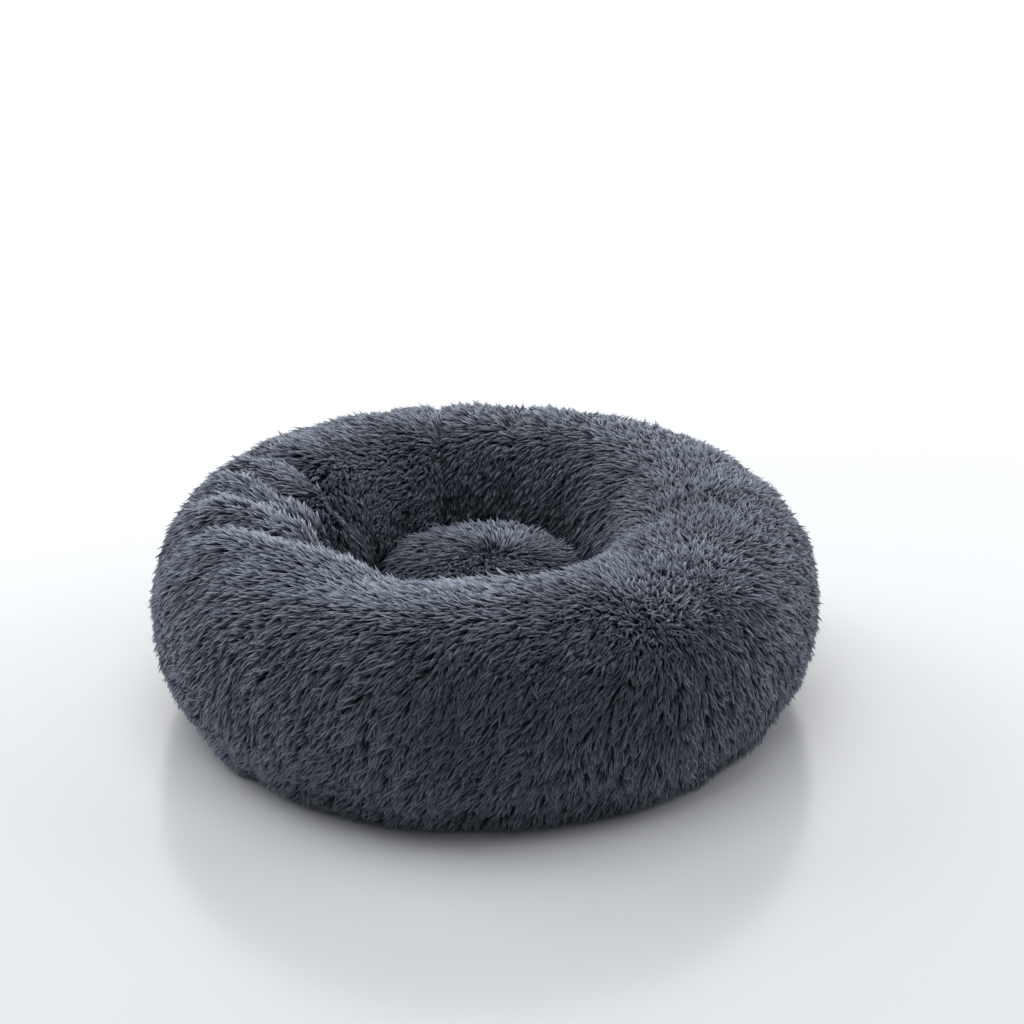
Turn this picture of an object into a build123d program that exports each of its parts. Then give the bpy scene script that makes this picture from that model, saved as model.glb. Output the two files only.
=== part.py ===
"""Round pet cushion bed: a stuffed plush ring on a sewn base, with a loose plush cushion in its nest.

The origin is the centre of the ring on the floor, +Z is up, and -Y is the front. Everything is in
millimetres. The plush solids run out to the tips of the pile as it lies.
"""

from math import atan2, cos, degrees, radians, sin
import os

from build123d import *

# Ring, measured over the pile
BED_RADIUS = 300.0
TUBE_HALF_WIDTH = 100.0
TUBE_HALF_HEIGHT = 101.5
RING_TOP = 199.0
RING_RADIUS = BED_RADIUS - TUBE_HALF_WIDTH
RING_MID_Z = RING_TOP - TUBE_HALF_HEIGHT
PLUSH_THICKNESS = 14.0
LAYER_GAP = 0.3
LINER_THICKNESS = 1.0
SEAM_AZIMUTHS = (77.0, 104.0)

# Base
GRIP_SHEET_RADIUS = 240.0
GRIP_SHEET_THICKNESS = 1.2
BASE_RADIUS = 246.0
BASE_THICKNESS = 1.5
BASE_TOP = GRIP_SHEET_THICKNESS + BASE_THICKNESS
BINDING_RADIUS = 2.2
BINDING_GAP = 0.2

# Nest floor, inside the ring
NEST_FLOOR_TOP = 62.0
NEST_FLOOR_THICKNESS = 2.0
NEST_FLOOR_RADIUS = 105.0
WADDING_CLEARANCE = 1.0

# Loose cushion
CUSHION_RADIUS = 96.5
CUSHION_MID_Z = 101.5
CUSHION_RISE = 46.0
CUSHION_EDGE_RADIUS = 40.0
CUSHION_REST_GAP = 0.3
CUSHION_PLUSH = 12.0
CUSHION_BACKING = 2.0
CUSHION_BOTTOM_RADIUS = 92.0
PILLOW_DROP = 35.0
PIPING_RADIUS = 1.8

# Zip, in a parting of the pile round the back of the outer wall
ZIP_SECTION_ANGLE = radians(-42.0)
ZIP_AZIMUTHS = (18.0, 162.0)
PARTING_AZIMUTHS = (14.0, 167.0)
PARTING_HALF_WIDTH = 11.0
PARTING_DEPTH = 11.0
TAPE_LOW, TAPE_HIGH = -9.6, -9.0
TAPE_EDGES = (1.2, 9.5)
COIL_RADIUS = 0.95
COIL_OFFSET = 1.8
STOP_ARC = 0.6
STOP_HALF_WIDTH = 3.2

# Zip slider and its pull
SLIDER_AZIMUTH = 20.0
SLIDER_ARC = 2.74
SLIDER_HALF_WIDTH = 4.5
LOWER_PLATE = (-10.7, -9.95)
UPPER_PLATE = (-6.7, -5.7)
FLANGE_DEPTH = 1.2
FLANGE_THICKNESS = 0.6
BRIDGE_HALF_WIDTH = 0.5
ARCH_HALF_LENGTH = 3.2
ARCH_THICKNESS = 0.8
ARCH_RISE = 2.5
ARCH_HALF_WIDTH = 0.8
ARCH_SINK = 0.2
PULL_PIN_RADIUS = 0.5
PULL_PIN_RISE = 0.85
PULL_THICKNESS = 1.0
PULL_ARM = (1.4, 2.6)
PULL_EYE_END = 4.3
PULL_LENGTH = 24.0
PULL_HALF_WIDTH = 3.2

# Blank care label, sewn into the base seam at the back
LABEL_AZIMUTH = 96.0
LABEL_WIDTH = 26.0
LABEL_LENGTH = 32.0
LABEL_THICKNESS = 0.5
LABEL_LOW = 1.4


def section_plane(azimuth):
    """The half plane through the Z axis at an azimuth: sketch x is the radius and sketch y is Z."""
    a = radians(azimuth)
    return Plane(origin=(0, 0, 0), x_dir=(cos(a), sin(a), 0), z_dir=(sin(a), -cos(a), 0))


def wall_frame(azimuth):
    """A point of the outer wall on the zip's line, the wall's outward normal, and the way up the wall."""
    a = radians(azimuth)
    radial = Vector(cos(a), sin(a), 0)
    lift = Vector(0, 0, 1)
    radius = RING_RADIUS + TUBE_HALF_WIDTH * cos(ZIP_SECTION_ANGLE)
    height = RING_MID_Z + TUBE_HALF_HEIGHT * sin(ZIP_SECTION_ANGLE)
    slope = atan2(sin(ZIP_SECTION_ANGLE) / TUBE_HALF_HEIGHT, cos(ZIP_SECTION_ANGLE) / TUBE_HALF_WIDTH)
    normal = radial * cos(slope) + lift * sin(slope)
    upward = lift * cos(slope) - radial * sin(slope)
    return radial * radius + lift * height, normal, upward


def wall_plane(azimuth):
    """Across the zip: sketch x is the depth from the wall's surface, and sketch y runs up the wall."""
    a = radians(azimuth)
    place, normal, _ = wall_frame(azimuth)
    return Plane(origin=place, x_dir=normal, z_dir=(sin(a), -cos(a), 0))


def travel_plane(azimuth):
    """Along the zip: sketch x is the way the slider travels, and sketch y points out of the wall."""
    a = radians(azimuth)
    place, _, upward = wall_frame(azimuth)
    return Plane(origin=place, x_dir=(-sin(a), cos(a), 0), z_dir=upward * -1)


def corner_box(low_x, low_y, high_x, high_y, mode=Mode.ADD):
    """A rectangle given by two corners."""
    with Locations(((low_x + high_x) / 2, (low_y + high_y) / 2)):
        Rectangle(high_x - low_x, high_y - low_y, mode=mode)


def tube_section(inset, mode=Mode.ADD):
    """The ring's section, drawn that far inside the tips of the pile."""
    with Locations((RING_RADIUS, RING_MID_Z)):
        Ellipse(TUBE_HALF_WIDTH - inset, TUBE_HALF_HEIGHT - inset, mode=mode)


def save(piece, label):
    """Labels a finished piece and writes its STEP file."""
    piece.label = label
    export_step(piece, f"parts/{label}.step")


def ring_cover_panel(label, start, arc):
    """One plush panel of the ring's cover, with the parting in its pile that the zip lies in."""
    with BuildPart() as panel:
        with BuildSketch(section_plane(start)):
            tube_section(0)
            tube_section(PLUSH_THICKNESS, Mode.SUBTRACT)
            corner_box(0, -BED_RADIUS, BED_RADIUS, BASE_TOP, Mode.SUBTRACT)
        revolve(axis=Axis.Z, revolution_arc=arc)
        with BuildSketch(wall_plane(PARTING_AZIMUTHS[0])):
            corner_box(-PARTING_DEPTH, -PARTING_HALF_WIDTH, PARTING_DEPTH, PARTING_HALF_WIDTH)
        revolve(
            axis=Axis.Z,
            revolution_arc=PARTING_AZIMUTHS[1] - PARTING_AZIMUTHS[0],
            mode=Mode.SUBTRACT,
        )
    save(panel.part, label)


def ring_liner():
    """The thin bag that holds the ring's filling."""
    outer = PLUSH_THICKNESS + LAYER_GAP
    with BuildPart() as liner:
        with BuildSketch(Plane.XZ):
            tube_section(outer)
            tube_section(outer + LINER_THICKNESS, Mode.SUBTRACT)
        revolve(axis=Axis.Z)
    save(liner.part, "ring_liner")


def ring_fibre_fill():
    """The ring's polyester filling, as one body."""
    with BuildPart() as fill:
        with BuildSketch(Plane.XZ):
            tube_section(PLUSH_THICKNESS + LINER_THICKNESS + 2 * LAYER_GAP)
        revolve(axis=Axis.Z)
    save(fill.part, "ring_fibre_fill")


def non_slip_sheet():
    """The dotted grip sheet that the bed stands on."""
    with BuildPart() as sheet:
        with BuildSketch(Plane.XY):
            Circle(GRIP_SHEET_RADIUS)
        extrude(amount=GRIP_SHEET_THICKNESS)
    save(sheet.part, "non_slip_sheet")


def base_panel():
    """The woven base cloth, sewn to the ring's cover along its edge."""
    with BuildPart() as base:
        with BuildSketch(Plane.XY.offset(GRIP_SHEET_THICKNESS)):
            Circle(BASE_RADIUS)
        extrude(amount=BASE_THICKNESS)
    save(base.part, "base_panel")


def base_binding():
    """The rolled tape that covers the raw edge of the base seam."""
    with BuildPart() as binding:
        with BuildSketch(Plane.XZ):
            with Locations((BASE_RADIUS + BINDING_GAP + BINDING_RADIUS, BASE_TOP + BINDING_RADIUS / 2)):
                Circle(BINDING_RADIUS)
        revolve(axis=Axis.Z)
    save(binding.part, "base_binding")


def base_wadding():
    """The wadding that fills the space under the nest floor, inside the ring."""
    with BuildPart() as wadding:
        with BuildSketch(Plane.XZ):
            corner_box(0, BASE_TOP, RING_RADIUS, NEST_FLOOR_TOP - NEST_FLOOR_THICKNESS)
            tube_section(-WADDING_CLEARANCE, Mode.SUBTRACT)
        revolve(axis=Axis.Z)
    save(wadding.part, "base_wadding")


def nest_floor_panel():
    """The cloth disc that closes the nest above the wadding."""
    with BuildPart() as floor:
        with BuildSketch(Plane.XY.offset(NEST_FLOOR_TOP - NEST_FLOOR_THICKNESS)):
            Circle(NEST_FLOOR_RADIUS)
        extrude(amount=NEST_FLOOR_THICKNESS)
    save(floor.part, "nest_floor_panel")


def domed_top(inset):
    """The line over the cushion's top, that far inside the pile's tips: a round edge and a shallow dome."""
    edge_centre = CUSHION_RADIUS - CUSHION_EDGE_RADIUS
    dome_radius = (edge_centre**2 + CUSHION_RISE**2 - CUSHION_EDGE_RADIUS**2) / (
        2 * (CUSHION_RISE - CUSHION_EDGE_RADIUS)
    )
    meet = degrees(atan2(dome_radius - CUSHION_RISE, edge_centre))
    dome_centre = CUSHION_MID_Z + CUSHION_RISE - dome_radius
    CenterArc((edge_centre, CUSHION_MID_Z), CUSHION_EDGE_RADIUS - inset, 0, meet)
    CenterArc((0, dome_centre), dome_radius - inset, meet, 90 - meet)


def flat_bottom(radius, drop):
    """The line under the cushion: a round edge down to a flat face."""
    CenterArc((radius - drop, CUSHION_MID_Z), drop, 270, 90)
    Line((0, CUSHION_MID_Z - drop), (radius - drop, CUSHION_MID_Z - drop))


def cushion_top_cover():
    """The plush upper half of the cushion's cover."""
    apex = CUSHION_MID_Z + CUSHION_RISE
    with BuildPart() as cover:
        with BuildSketch(Plane.XZ):
            with BuildLine():
                domed_top(0)
                domed_top(CUSHION_PLUSH)
                Line((0, apex), (0, apex - CUSHION_PLUSH))
                Line((CUSHION_RADIUS - CUSHION_PLUSH, CUSHION_MID_Z), (CUSHION_RADIUS, CUSHION_MID_Z))
            make_face()
        revolve(axis=Axis.Z)
    save(cover.part, "cushion_top_cover")


def cushion_bottom_cover():
    """The plain cloth lower half of the cushion's cover."""
    drop = CUSHION_MID_Z - NEST_FLOOR_TOP - CUSHION_REST_GAP
    inner_drop = drop - CUSHION_BACKING
    inner_radius = CUSHION_BOTTOM_RADIUS - CUSHION_BACKING
    with BuildPart() as cover:
        with BuildSketch(Plane.XZ):
            with BuildLine():
                flat_bottom(CUSHION_BOTTOM_RADIUS, drop)
                flat_bottom(inner_radius, inner_drop)
                Line((0, CUSHION_MID_Z - drop), (0, CUSHION_MID_Z - inner_drop))
                Line((inner_radius, CUSHION_MID_Z), (CUSHION_BOTTOM_RADIUS, CUSHION_MID_Z))
            make_face()
        revolve(axis=Axis.Z)
    save(cover.part, "cushion_bottom_cover")


def cushion_pillow(label, shrink, wall):
    """The cushion's inner pillow: its liner, with a wall that thick, or its filling, with a wall of 0."""
    with BuildPart() as pillow:
        for inset in (shrink, shrink + wall) if wall else (shrink,):
            side = CUSHION_RADIUS - CUSHION_PLUSH - inset
            drop = PILLOW_DROP - inset
            apex = CUSHION_MID_Z + CUSHION_RISE - CUSHION_PLUSH - inset
            with BuildSketch(Plane.XZ):
                with BuildLine():
                    domed_top(CUSHION_PLUSH + inset)
                    flat_bottom(side, drop)
                    Line((0, apex), (0, CUSHION_MID_Z - drop))
                make_face()
            revolve(axis=Axis.Z, mode=Mode.ADD if inset == shrink else Mode.SUBTRACT)
    save(pillow.part, label)


def cushion_piping():
    """The cord in the cushion's edge seam."""
    with BuildPart() as piping:
        with BuildSketch(Plane.XZ):
            with Locations((CUSHION_BOTTOM_RADIUS + LAYER_GAP + PIPING_RADIUS, CUSHION_MID_Z - 2.1)):
                Circle(PIPING_RADIUS)
        revolve(axis=Axis.Z)
    save(piping.part, "cushion_piping")


def zip_strip(label, side):
    """One tape of the zip: side is 1 above the coils and -1 below them."""
    with BuildPart() as tape:
        with BuildSketch(wall_plane(ZIP_AZIMUTHS[0])):
            with Locations(((TAPE_LOW + TAPE_HIGH) / 2, side * sum(TAPE_EDGES) / 2)):
                Rectangle(TAPE_HIGH - TAPE_LOW, TAPE_EDGES[1] - TAPE_EDGES[0])
        revolve(axis=Axis.Z, revolution_arc=ZIP_AZIMUTHS[1] - ZIP_AZIMUTHS[0])
    save(tape.part, label)


def zip_coil(label, side):
    """One row of the zip's nylon coil, as a plain round cord on its tape."""
    with BuildPart() as coil:
        with BuildSketch(wall_plane(ZIP_AZIMUTHS[0])):
            with Locations((TAPE_HIGH + COIL_RADIUS, side * COIL_OFFSET)):
                Circle(COIL_RADIUS)
        revolve(axis=Axis.Z, revolution_arc=ZIP_AZIMUTHS[1] - ZIP_AZIMUTHS[0])
    save(coil.part, label)


def zip_end_stops():
    """The clips past each end of the coils, as two solids."""
    with BuildPart() as stops:
        for start in (ZIP_AZIMUTHS[0] - STOP_ARC, ZIP_AZIMUTHS[1]):
            with BuildSketch(wall_plane(start)):
                corner_box(TAPE_LOW, -STOP_HALF_WIDTH, TAPE_HIGH + 2 * COIL_RADIUS, STOP_HALF_WIDTH)
            revolve(axis=Axis.Z, revolution_arc=STOP_ARC)
    save(stops.part, "zip_end_stops")


def zip_slider():
    """The slider: two plates that clasp the coils, the bridge between them, and the arch for the pull."""
    low, high = UPPER_PLATE
    inner = SLIDER_HALF_WIDTH - FLANGE_THICKNESS
    with BuildPart() as slider:
        with BuildSketch(wall_plane(SLIDER_AZIMUTH - SLIDER_ARC / 2)):
            corner_box(LOWER_PLATE[0], -SLIDER_HALF_WIDTH, LOWER_PLATE[1], SLIDER_HALF_WIDTH)
            corner_box(low, -SLIDER_HALF_WIDTH, high, SLIDER_HALF_WIDTH)
            corner_box(low - FLANGE_DEPTH, inner, low, SLIDER_HALF_WIDTH)
            corner_box(low - FLANGE_DEPTH, -SLIDER_HALF_WIDTH, low, -inner)
        revolve(axis=Axis.Z, revolution_arc=SLIDER_ARC)
        with BuildSketch(wall_plane(SLIDER_AZIMUTH)):
            corner_box(LOWER_PLATE[1], -BRIDGE_HALF_WIDTH, low, BRIDGE_HALF_WIDTH)
        revolve(axis=Axis.Z, revolution_arc=SLIDER_ARC / 3)
        with BuildSketch(travel_plane(SLIDER_AZIMUTH)):
            corner_box(-ARCH_HALF_LENGTH, high - ARCH_SINK, ARCH_HALF_LENGTH, high + ARCH_RISE)
            corner_box(
                ARCH_THICKNESS - ARCH_HALF_LENGTH,
                high - ARCH_SINK,
                ARCH_HALF_LENGTH - ARCH_THICKNESS,
                high + ARCH_RISE - ARCH_THICKNESS,
                Mode.SUBTRACT,
            )
        extrude(amount=ARCH_HALF_WIDTH, both=True)
    save(slider.part, "zip_slider")


def zip_pull():
    """The pull tab: a plate with an eye, and the pin of the eye, which lies under the slider's arch."""
    middle = UPPER_PLATE[1] + PULL_PIN_RISE
    plane = travel_plane(SLIDER_AZIMUTH)
    place, normal, upward = wall_frame(SLIDER_AZIMUTH)
    along = plane.x_dir
    face = Plane(
        origin=place + normal * (middle - PULL_THICKNESS / 2),
        x_dir=along,
        z_dir=normal,
    )
    with BuildPart() as pull:
        with BuildSketch(plane):
            with Locations((0, middle)):
                Circle(PULL_PIN_RADIUS)
        extrude(amount=PULL_ARM[1], both=True)
        with BuildSketch(face):
            corner_box(0, -PULL_ARM[1], PULL_EYE_END + PULL_ARM[0], PULL_ARM[1])
            corner_box(0, -PULL_ARM[0], PULL_EYE_END, PULL_ARM[0], Mode.SUBTRACT)
            with Locations(((PULL_EYE_END + PULL_LENGTH) / 2, 0)):
                RectangleRounded(PULL_LENGTH - PULL_EYE_END, 2 * PULL_HALF_WIDTH, PULL_HALF_WIDTH / 2)
        extrude(amount=PULL_THICKNESS)
    save(pull.part, "zip_pull")


def care_label():
    """The folded blank label, lying out from the base seam under the wall."""
    a = radians(LABEL_AZIMUTH)
    start = BASE_RADIUS + 2 * (BINDING_GAP + BINDING_RADIUS)
    with BuildPart() as label:
        with BuildSketch(Plane(origin=(0, 0, LABEL_LOW), x_dir=(cos(a), sin(a), 0), z_dir=(0, 0, 1))):
            corner_box(start, -LABEL_WIDTH / 2, start + LABEL_LENGTH, LABEL_WIDTH / 2)
        extrude(amount=LABEL_THICKNESS)
    save(label.part, "care_label")


os.makedirs("parts", exist_ok=True)

back_arc = SEAM_AZIMUTHS[1] - SEAM_AZIMUTHS[0]
ring_cover_panel("ring_cover_back_panel", SEAM_AZIMUTHS[0], back_arc)
ring_cover_panel("ring_cover_main_panel", SEAM_AZIMUTHS[1], 360.0 - back_arc)
ring_liner()
ring_fibre_fill()
non_slip_sheet()
base_panel()
base_binding()
base_wadding()
nest_floor_panel()

cushion_top_cover()
cushion_bottom_cover()
cushion_pillow("cushion_liner", LAYER_GAP, LINER_THICKNESS)
cushion_pillow("cushion_fill", LINER_THICKNESS + 2 * LAYER_GAP, 0)
cushion_piping()

for side, name in ((1, "upper"), (-1, "lower")):
    zip_strip(f"zip_tape_{name}", side)
    zip_coil(f"zip_coil_{name}", side)
zip_end_stops()
zip_slider()
zip_pull()
care_label()

pivot, outward, pull_axis = wall_frame(SLIDER_AZIMUTH)
pivot += outward * (UPPER_PLATE[1] + PULL_PIN_RISE)
print("pull pivot (mm):", [round(v, 4) for v in pivot])
print("pull axis:", [round(v, 6) for v in pull_axis])
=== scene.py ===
"""Looks of the round plush pet bed: fabric skins, pile made of mesh tufts, sewn base, zip and label."""

import math

import bmesh
import bpy
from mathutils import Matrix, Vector
import numpy as np


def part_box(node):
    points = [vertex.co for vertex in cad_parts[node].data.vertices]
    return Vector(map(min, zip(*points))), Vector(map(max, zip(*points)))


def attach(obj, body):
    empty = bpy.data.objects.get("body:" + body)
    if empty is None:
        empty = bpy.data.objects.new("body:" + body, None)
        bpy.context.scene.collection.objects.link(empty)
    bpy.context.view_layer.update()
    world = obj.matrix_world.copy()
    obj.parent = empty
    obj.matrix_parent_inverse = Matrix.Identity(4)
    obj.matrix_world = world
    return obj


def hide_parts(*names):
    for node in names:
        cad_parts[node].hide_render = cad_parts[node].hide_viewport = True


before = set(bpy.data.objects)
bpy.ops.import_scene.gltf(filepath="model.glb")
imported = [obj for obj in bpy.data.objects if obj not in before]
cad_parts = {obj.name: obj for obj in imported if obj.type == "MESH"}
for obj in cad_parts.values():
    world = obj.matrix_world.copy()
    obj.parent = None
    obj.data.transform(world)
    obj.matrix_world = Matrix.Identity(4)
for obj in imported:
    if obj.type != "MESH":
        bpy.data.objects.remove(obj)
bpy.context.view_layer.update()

# The camera stands in front of the bed and looks down on it.
VIEW_ELEVATION = math.radians(24.6)
VIEW_DISTANCE = 2.492
VIEW_LENS = 97.1
AIM_RIGHT = 0.026
AIM_UP = 0.0705
RING_CENTRE_HEIGHT = 0.1

# Ring section, over the pile. The section angle is 0 outside, 90 at the crest and 180 in the nest.
ring_low, ring_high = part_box("ring_cover_main_panel")
BED_RADIUS = ring_high[0]
TUBE_HALF_WIDTH = 0.100
RING_RADIUS = BED_RADIUS - TUBE_HALF_WIDTH
TUBE_HALF_HEIGHT = 0.1015
RING_MID_Z = ring_high[2] - TUBE_HALF_HEIGHT
BASE_TOP = ring_low[2]
UPPER_EXPONENT = 2.2
LOWER_EXPONENT = 2.5
PILE_DEPTH = 0.0105
SEAMS = (math.radians(77.0), math.radians(104.0))
AZIMUTH_STEPS = 288
SECTION_STEPS = 112

# Zip, in a parting of the pile round the back of the outer wall
ZIP_SECTION_ANGLE = math.radians(-42.0)
ZIP_AZIMUTHS = (math.radians(18.0), math.radians(162.0))
PARTING_AZIMUTHS = (math.radians(10.5), math.radians(168.0))
PARTING_HALF_WIDTH = 0.011
PARTING_FLOOR = -0.0112
TAPE_FACE = -0.0090
TAPE_BACK = -0.0096
COIL_RADIUS = 0.00095
COIL_OFFSET = 0.0018

# Loose cushion
cushion_low, cushion_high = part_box("cushion_top_cover")
CUSHION_RADIUS = cushion_high[0]
CUSHION_MID_Z = cushion_low[2]
CUSHION_RISE = cushion_high[2] - cushion_low[2]
CUSHION_PILE = 0.0095
CUSHION_EXPONENT = 2.9
CUSHION_DROP = CUSHION_MID_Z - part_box("cushion_bottom_cover")[0][2]
CUSHION_BOTTOM_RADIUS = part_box("cushion_bottom_cover")[1][0]
CUSHION_STEPS = (192, 48)

# The wall of a skin, and how far inside it its liner and its filling are
SKIN_THICKNESS = 0.0006
LINER_INSET = 0.0016
FILL_INSET = 0.0034
UP = np.array([0.0, 0.0, 1.0])


# ---------------------------------------------------------------- small tools


def unit(v):
    """v at a length of 1."""
    return v / np.maximum(np.linalg.norm(v, axis=-1, keepdims=True), 1e-12)


def smooth(x, low, high):
    """0 below low, 1 above high, and an even ramp between them."""
    k = np.clip((x - low) / (high - low), 0.0, 1.0)
    return k * k * (3.0 - 2.0 * k)


def bump(x, centre, width):
    """1 at centre, falling away evenly over about width on both sides."""
    return np.exp(-(((x - centre) / width) ** 2))


def tangent(v, normal):
    """The part of v that lies in the surface."""
    return v - normal * (v * normal).sum(-1, keepdims=True)


def angle_gap(a, b):
    """The signed angle from b to a, between -pi and pi."""
    return (a - b + np.pi) % (2 * np.pi) - np.pi


def round_the_axis(azimuth):
    """The outward and the counter-clockwise direction at each azimuth."""
    c, s, o = np.cos(azimuth), np.sin(azimuth), np.zeros_like(azimuth)
    return np.stack([c, s, o], -1), np.stack([-s, c, o], -1)


def round_points(azimuth, radius, height):
    """Points by azimuth, distance from the axis and height."""
    points = round_the_axis(azimuth)[0] * np.asarray(radius)[..., None]
    points[..., 2] = height
    return points


def near_azimuth(azimuth, middle, half_width):
    """1 at an azimuth, falling away on both sides of it."""
    return bump(angle_gap(azimuth, middle), 0.0, half_width)


def place_piece(name, mesh, material, body):
    """An object for a mesh, with its material, which rides on a body."""
    mesh.materials.append(material)
    piece = bpy.data.objects.new(name, mesh)
    bpy.context.scene.collection.objects.link(piece)
    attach(piece, body)
    return piece


def mesh_piece(name, points, faces, material, body, slot, mend=False):
    """A piece from points and faces; mend turns the faces outwards."""
    mesh = bpy.data.meshes.new(name)
    mesh.from_pydata(np.asarray(points).tolist(), [], faces)
    mesh.polygons.foreach_set("use_smooth", [True] * len(mesh.polygons))
    mesh.update()
    if mend:
        fix_normals(mesh)
    return place_piece(name, mesh, material, body)


def grid_faces(rows, columns, row_range, closed_columns=True):
    """Quads between neighbouring rows of a grid; the rows close on themselves."""
    steps = columns if closed_columns else columns - 1
    i, j = np.meshgrid(row_range, np.arange(steps), indexing="ij")
    i, j = i.ravel(), j.ravel()
    i2, j2 = (i + 1) % rows, (j + 1) % columns
    return np.stack([i * columns + j, i2 * columns + j, i2 * columns + j2, i * columns + j2], -1)


def lathe(points, closed=True, inside_out=False):
    """The points and faces of a grid round the axis, capped at the first and, if closed, the last column."""
    rows, columns = points.shape[:2]
    corners = points.reshape(-1, 3)
    tips = [[0.0, 0.0, points[:, column, 2].mean()] for column in ((0, -1) if closed else (0,))]
    faces = grid_faces(rows, columns, np.arange(rows), closed_columns=False)[:, ::-1].tolist()
    start = np.arange(rows) * columns
    faces += np.stack([start, np.roll(start, -1), np.full(rows, len(corners))], -1).tolist()
    if closed:
        end = start + columns - 1
        faces += np.stack([np.roll(end, -1), end, np.full(rows, len(corners) + 1)], -1).tolist()
    if inside_out:
        faces = [face[::-1] for face in faces]
    return np.append(corners, tips, 0), faces


def add_thickness(piece, thickness):
    """Gives an open skin a wall, on its inner side."""
    wall = piece.modifiers.new("wall", "SOLIDIFY")
    wall.thickness = thickness
    wall.offset = -1.0


def end_caps(rows, columns):
    """The faces that close the first and the last row of a swept grid."""
    last = (rows - 1) * columns
    return [list(range(columns)), [last + k for k in reversed(range(columns))]]


def tube_piece(name, path, frames, profile, material, body, slot, closed=True):
    """A profile of (side, up) points swept along a path; frames gives the side and up direction at each."""
    side, up = frames
    profile = np.asarray(profile)
    if profile.ndim == 2:
        profile = np.repeat(profile[None], len(path), 0)
    points = path[:, None] + side[:, None] * profile[..., :1] + up[:, None] * profile[..., 1:]
    rows, columns = points.shape[:2]
    if closed:
        faces = grid_faces(rows, columns, np.arange(rows)).tolist()
    else:
        faces = grid_faces(rows, columns, np.arange(rows - 1)).tolist() + end_caps(rows, columns)
    return mesh_piece(name, points.reshape(-1, 3), faces, material, body, slot, mend=True)


def fix_normals(mesh):
    """Turns all faces outwards."""
    work = bmesh.new()
    work.from_mesh(mesh)
    bmesh.ops.recalc_face_normals(work, faces=work.faces)
    work.to_mesh(mesh)
    work.free()


def round_profile(radius, corners):
    """A circle, as (side, up) points."""
    turn = np.arange(corners) * 2 * np.pi / corners
    return np.stack([radius * np.cos(turn), radius * np.sin(turn)], -1)


# ---------------------------------------------------------------- materials


def new_material(name, roughness, specular=0.3, sheen=0.0, metallic=0.0):
    """A material, its node tree and its shader."""
    material = bpy.data.materials.new(name)
    material.use_nodes = True
    shader = material.node_tree.nodes["Principled BSDF"]
    shader.inputs["Roughness"].default_value = roughness
    shader.inputs["Specular IOR Level"].default_value = specular
    shader.inputs["Sheen Weight"].default_value = sheen
    shader.inputs["Sheen Roughness"].default_value = 0.45
    shader.inputs["Metallic"].default_value = metallic
    return material, material.node_tree, shader


def ramp(tree, stops, factor):
    """Colours by factor, as (place, colour) stops."""
    node = tree.nodes.new("ShaderNodeValToRGB")
    elements = node.color_ramp.elements
    while len(elements) < len(stops):
        elements.new(0.5)
    for element, (place, colour) in zip(elements, stops):
        element.position = place
        element.color = (*colour, 1.0)
    tree.links.new(factor, node.inputs["Fac"])
    return node.outputs["Color"]


def noise(tree, scale, detail=3.0):
    """A soft noise that is fixed to the piece."""
    node = tree.nodes.new("ShaderNodeTexNoise")
    node.inputs["Scale"].default_value = scale
    node.inputs["Detail"].default_value = detail
    place = tree.nodes.new("ShaderNodeTexCoord")
    tree.links.new(place.outputs["Object"], node.inputs["Vector"])
    return node.outputs["Fac"]


def add_bump(tree, shader, height, strength, distance):
    """Relief on a shader, from a height between 0 and 1."""
    node = tree.nodes.new("ShaderNodeBump")
    node.inputs["Strength"].default_value = strength
    node.inputs["Distance"].default_value = distance
    tree.links.new(height, node.inputs["Height"])
    tree.links.new(node.outputs["Normal"], shader.inputs["Normal"])


def pile_material(name, stops):
    """Pile: darker towards the root as painted shade deep in the pile, light at the tip, and lighter or
    darker from tuft to tuft by a tone that also carries painted light and shade.
    """
    material, tree, shader = new_material(name, roughness=0.65, specular=0.18, sheen=0.28)
    shader.inputs["Sheen Tint"].default_value = (0.75, 0.85, 1.0, 1.0)
    uv = tree.nodes.new("ShaderNodeUVMap")
    uv.uv_map = "OFBake"
    split = tree.nodes.new("ShaderNodeSeparateXYZ")
    # The ramp along each tuft is mostly painted shade: near black at the root, where the pile shades itself.
    along = ramp(tree, stops, split.outputs["Y"])
    tones = [(0.0, (0.38, 0.38, 0.41)), (0.5, (1.0, 1.0, 1.0)), (1.0, (1.90, 1.90, 1.85))]
    tone = ramp(tree, tones, split.outputs["X"])
    mix = tree.nodes.new("ShaderNodeMix")
    mix.data_type = "RGBA"
    mix.blend_type = "MULTIPLY"
    mix.inputs["Factor"].default_value = 1.0
    link = tree.links.new
    link(uv.outputs["UV"], split.inputs["Vector"])
    link(along, mix.inputs["A"])
    link(tone, mix.inputs["B"])
    link(mix.outputs["Result"], shader.inputs["Base Color"])
    return material


def speckled_material(name, dark, light, scale, roughness=0.9, bump_depth=0.0, sheen=0.0):
    """Cloth or filling without a visible weave: a soft noise in colour and, if wanted, in relief."""
    material, tree, shader = new_material(name, roughness=roughness, specular=0.15, sheen=sheen)
    cloud = noise(tree, scale)
    tree.links.new(ramp(tree, [(0.3, dark), (0.7, light)], cloud), shader.inputs["Base Color"])
    if bump_depth:
        add_bump(tree, shader, cloud, 0.8, bump_depth)
    return material


# Bands in a metre of Blender's wave texture, for each 1 of its scale
BANDS_PER_SCALE = 3.1831


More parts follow.
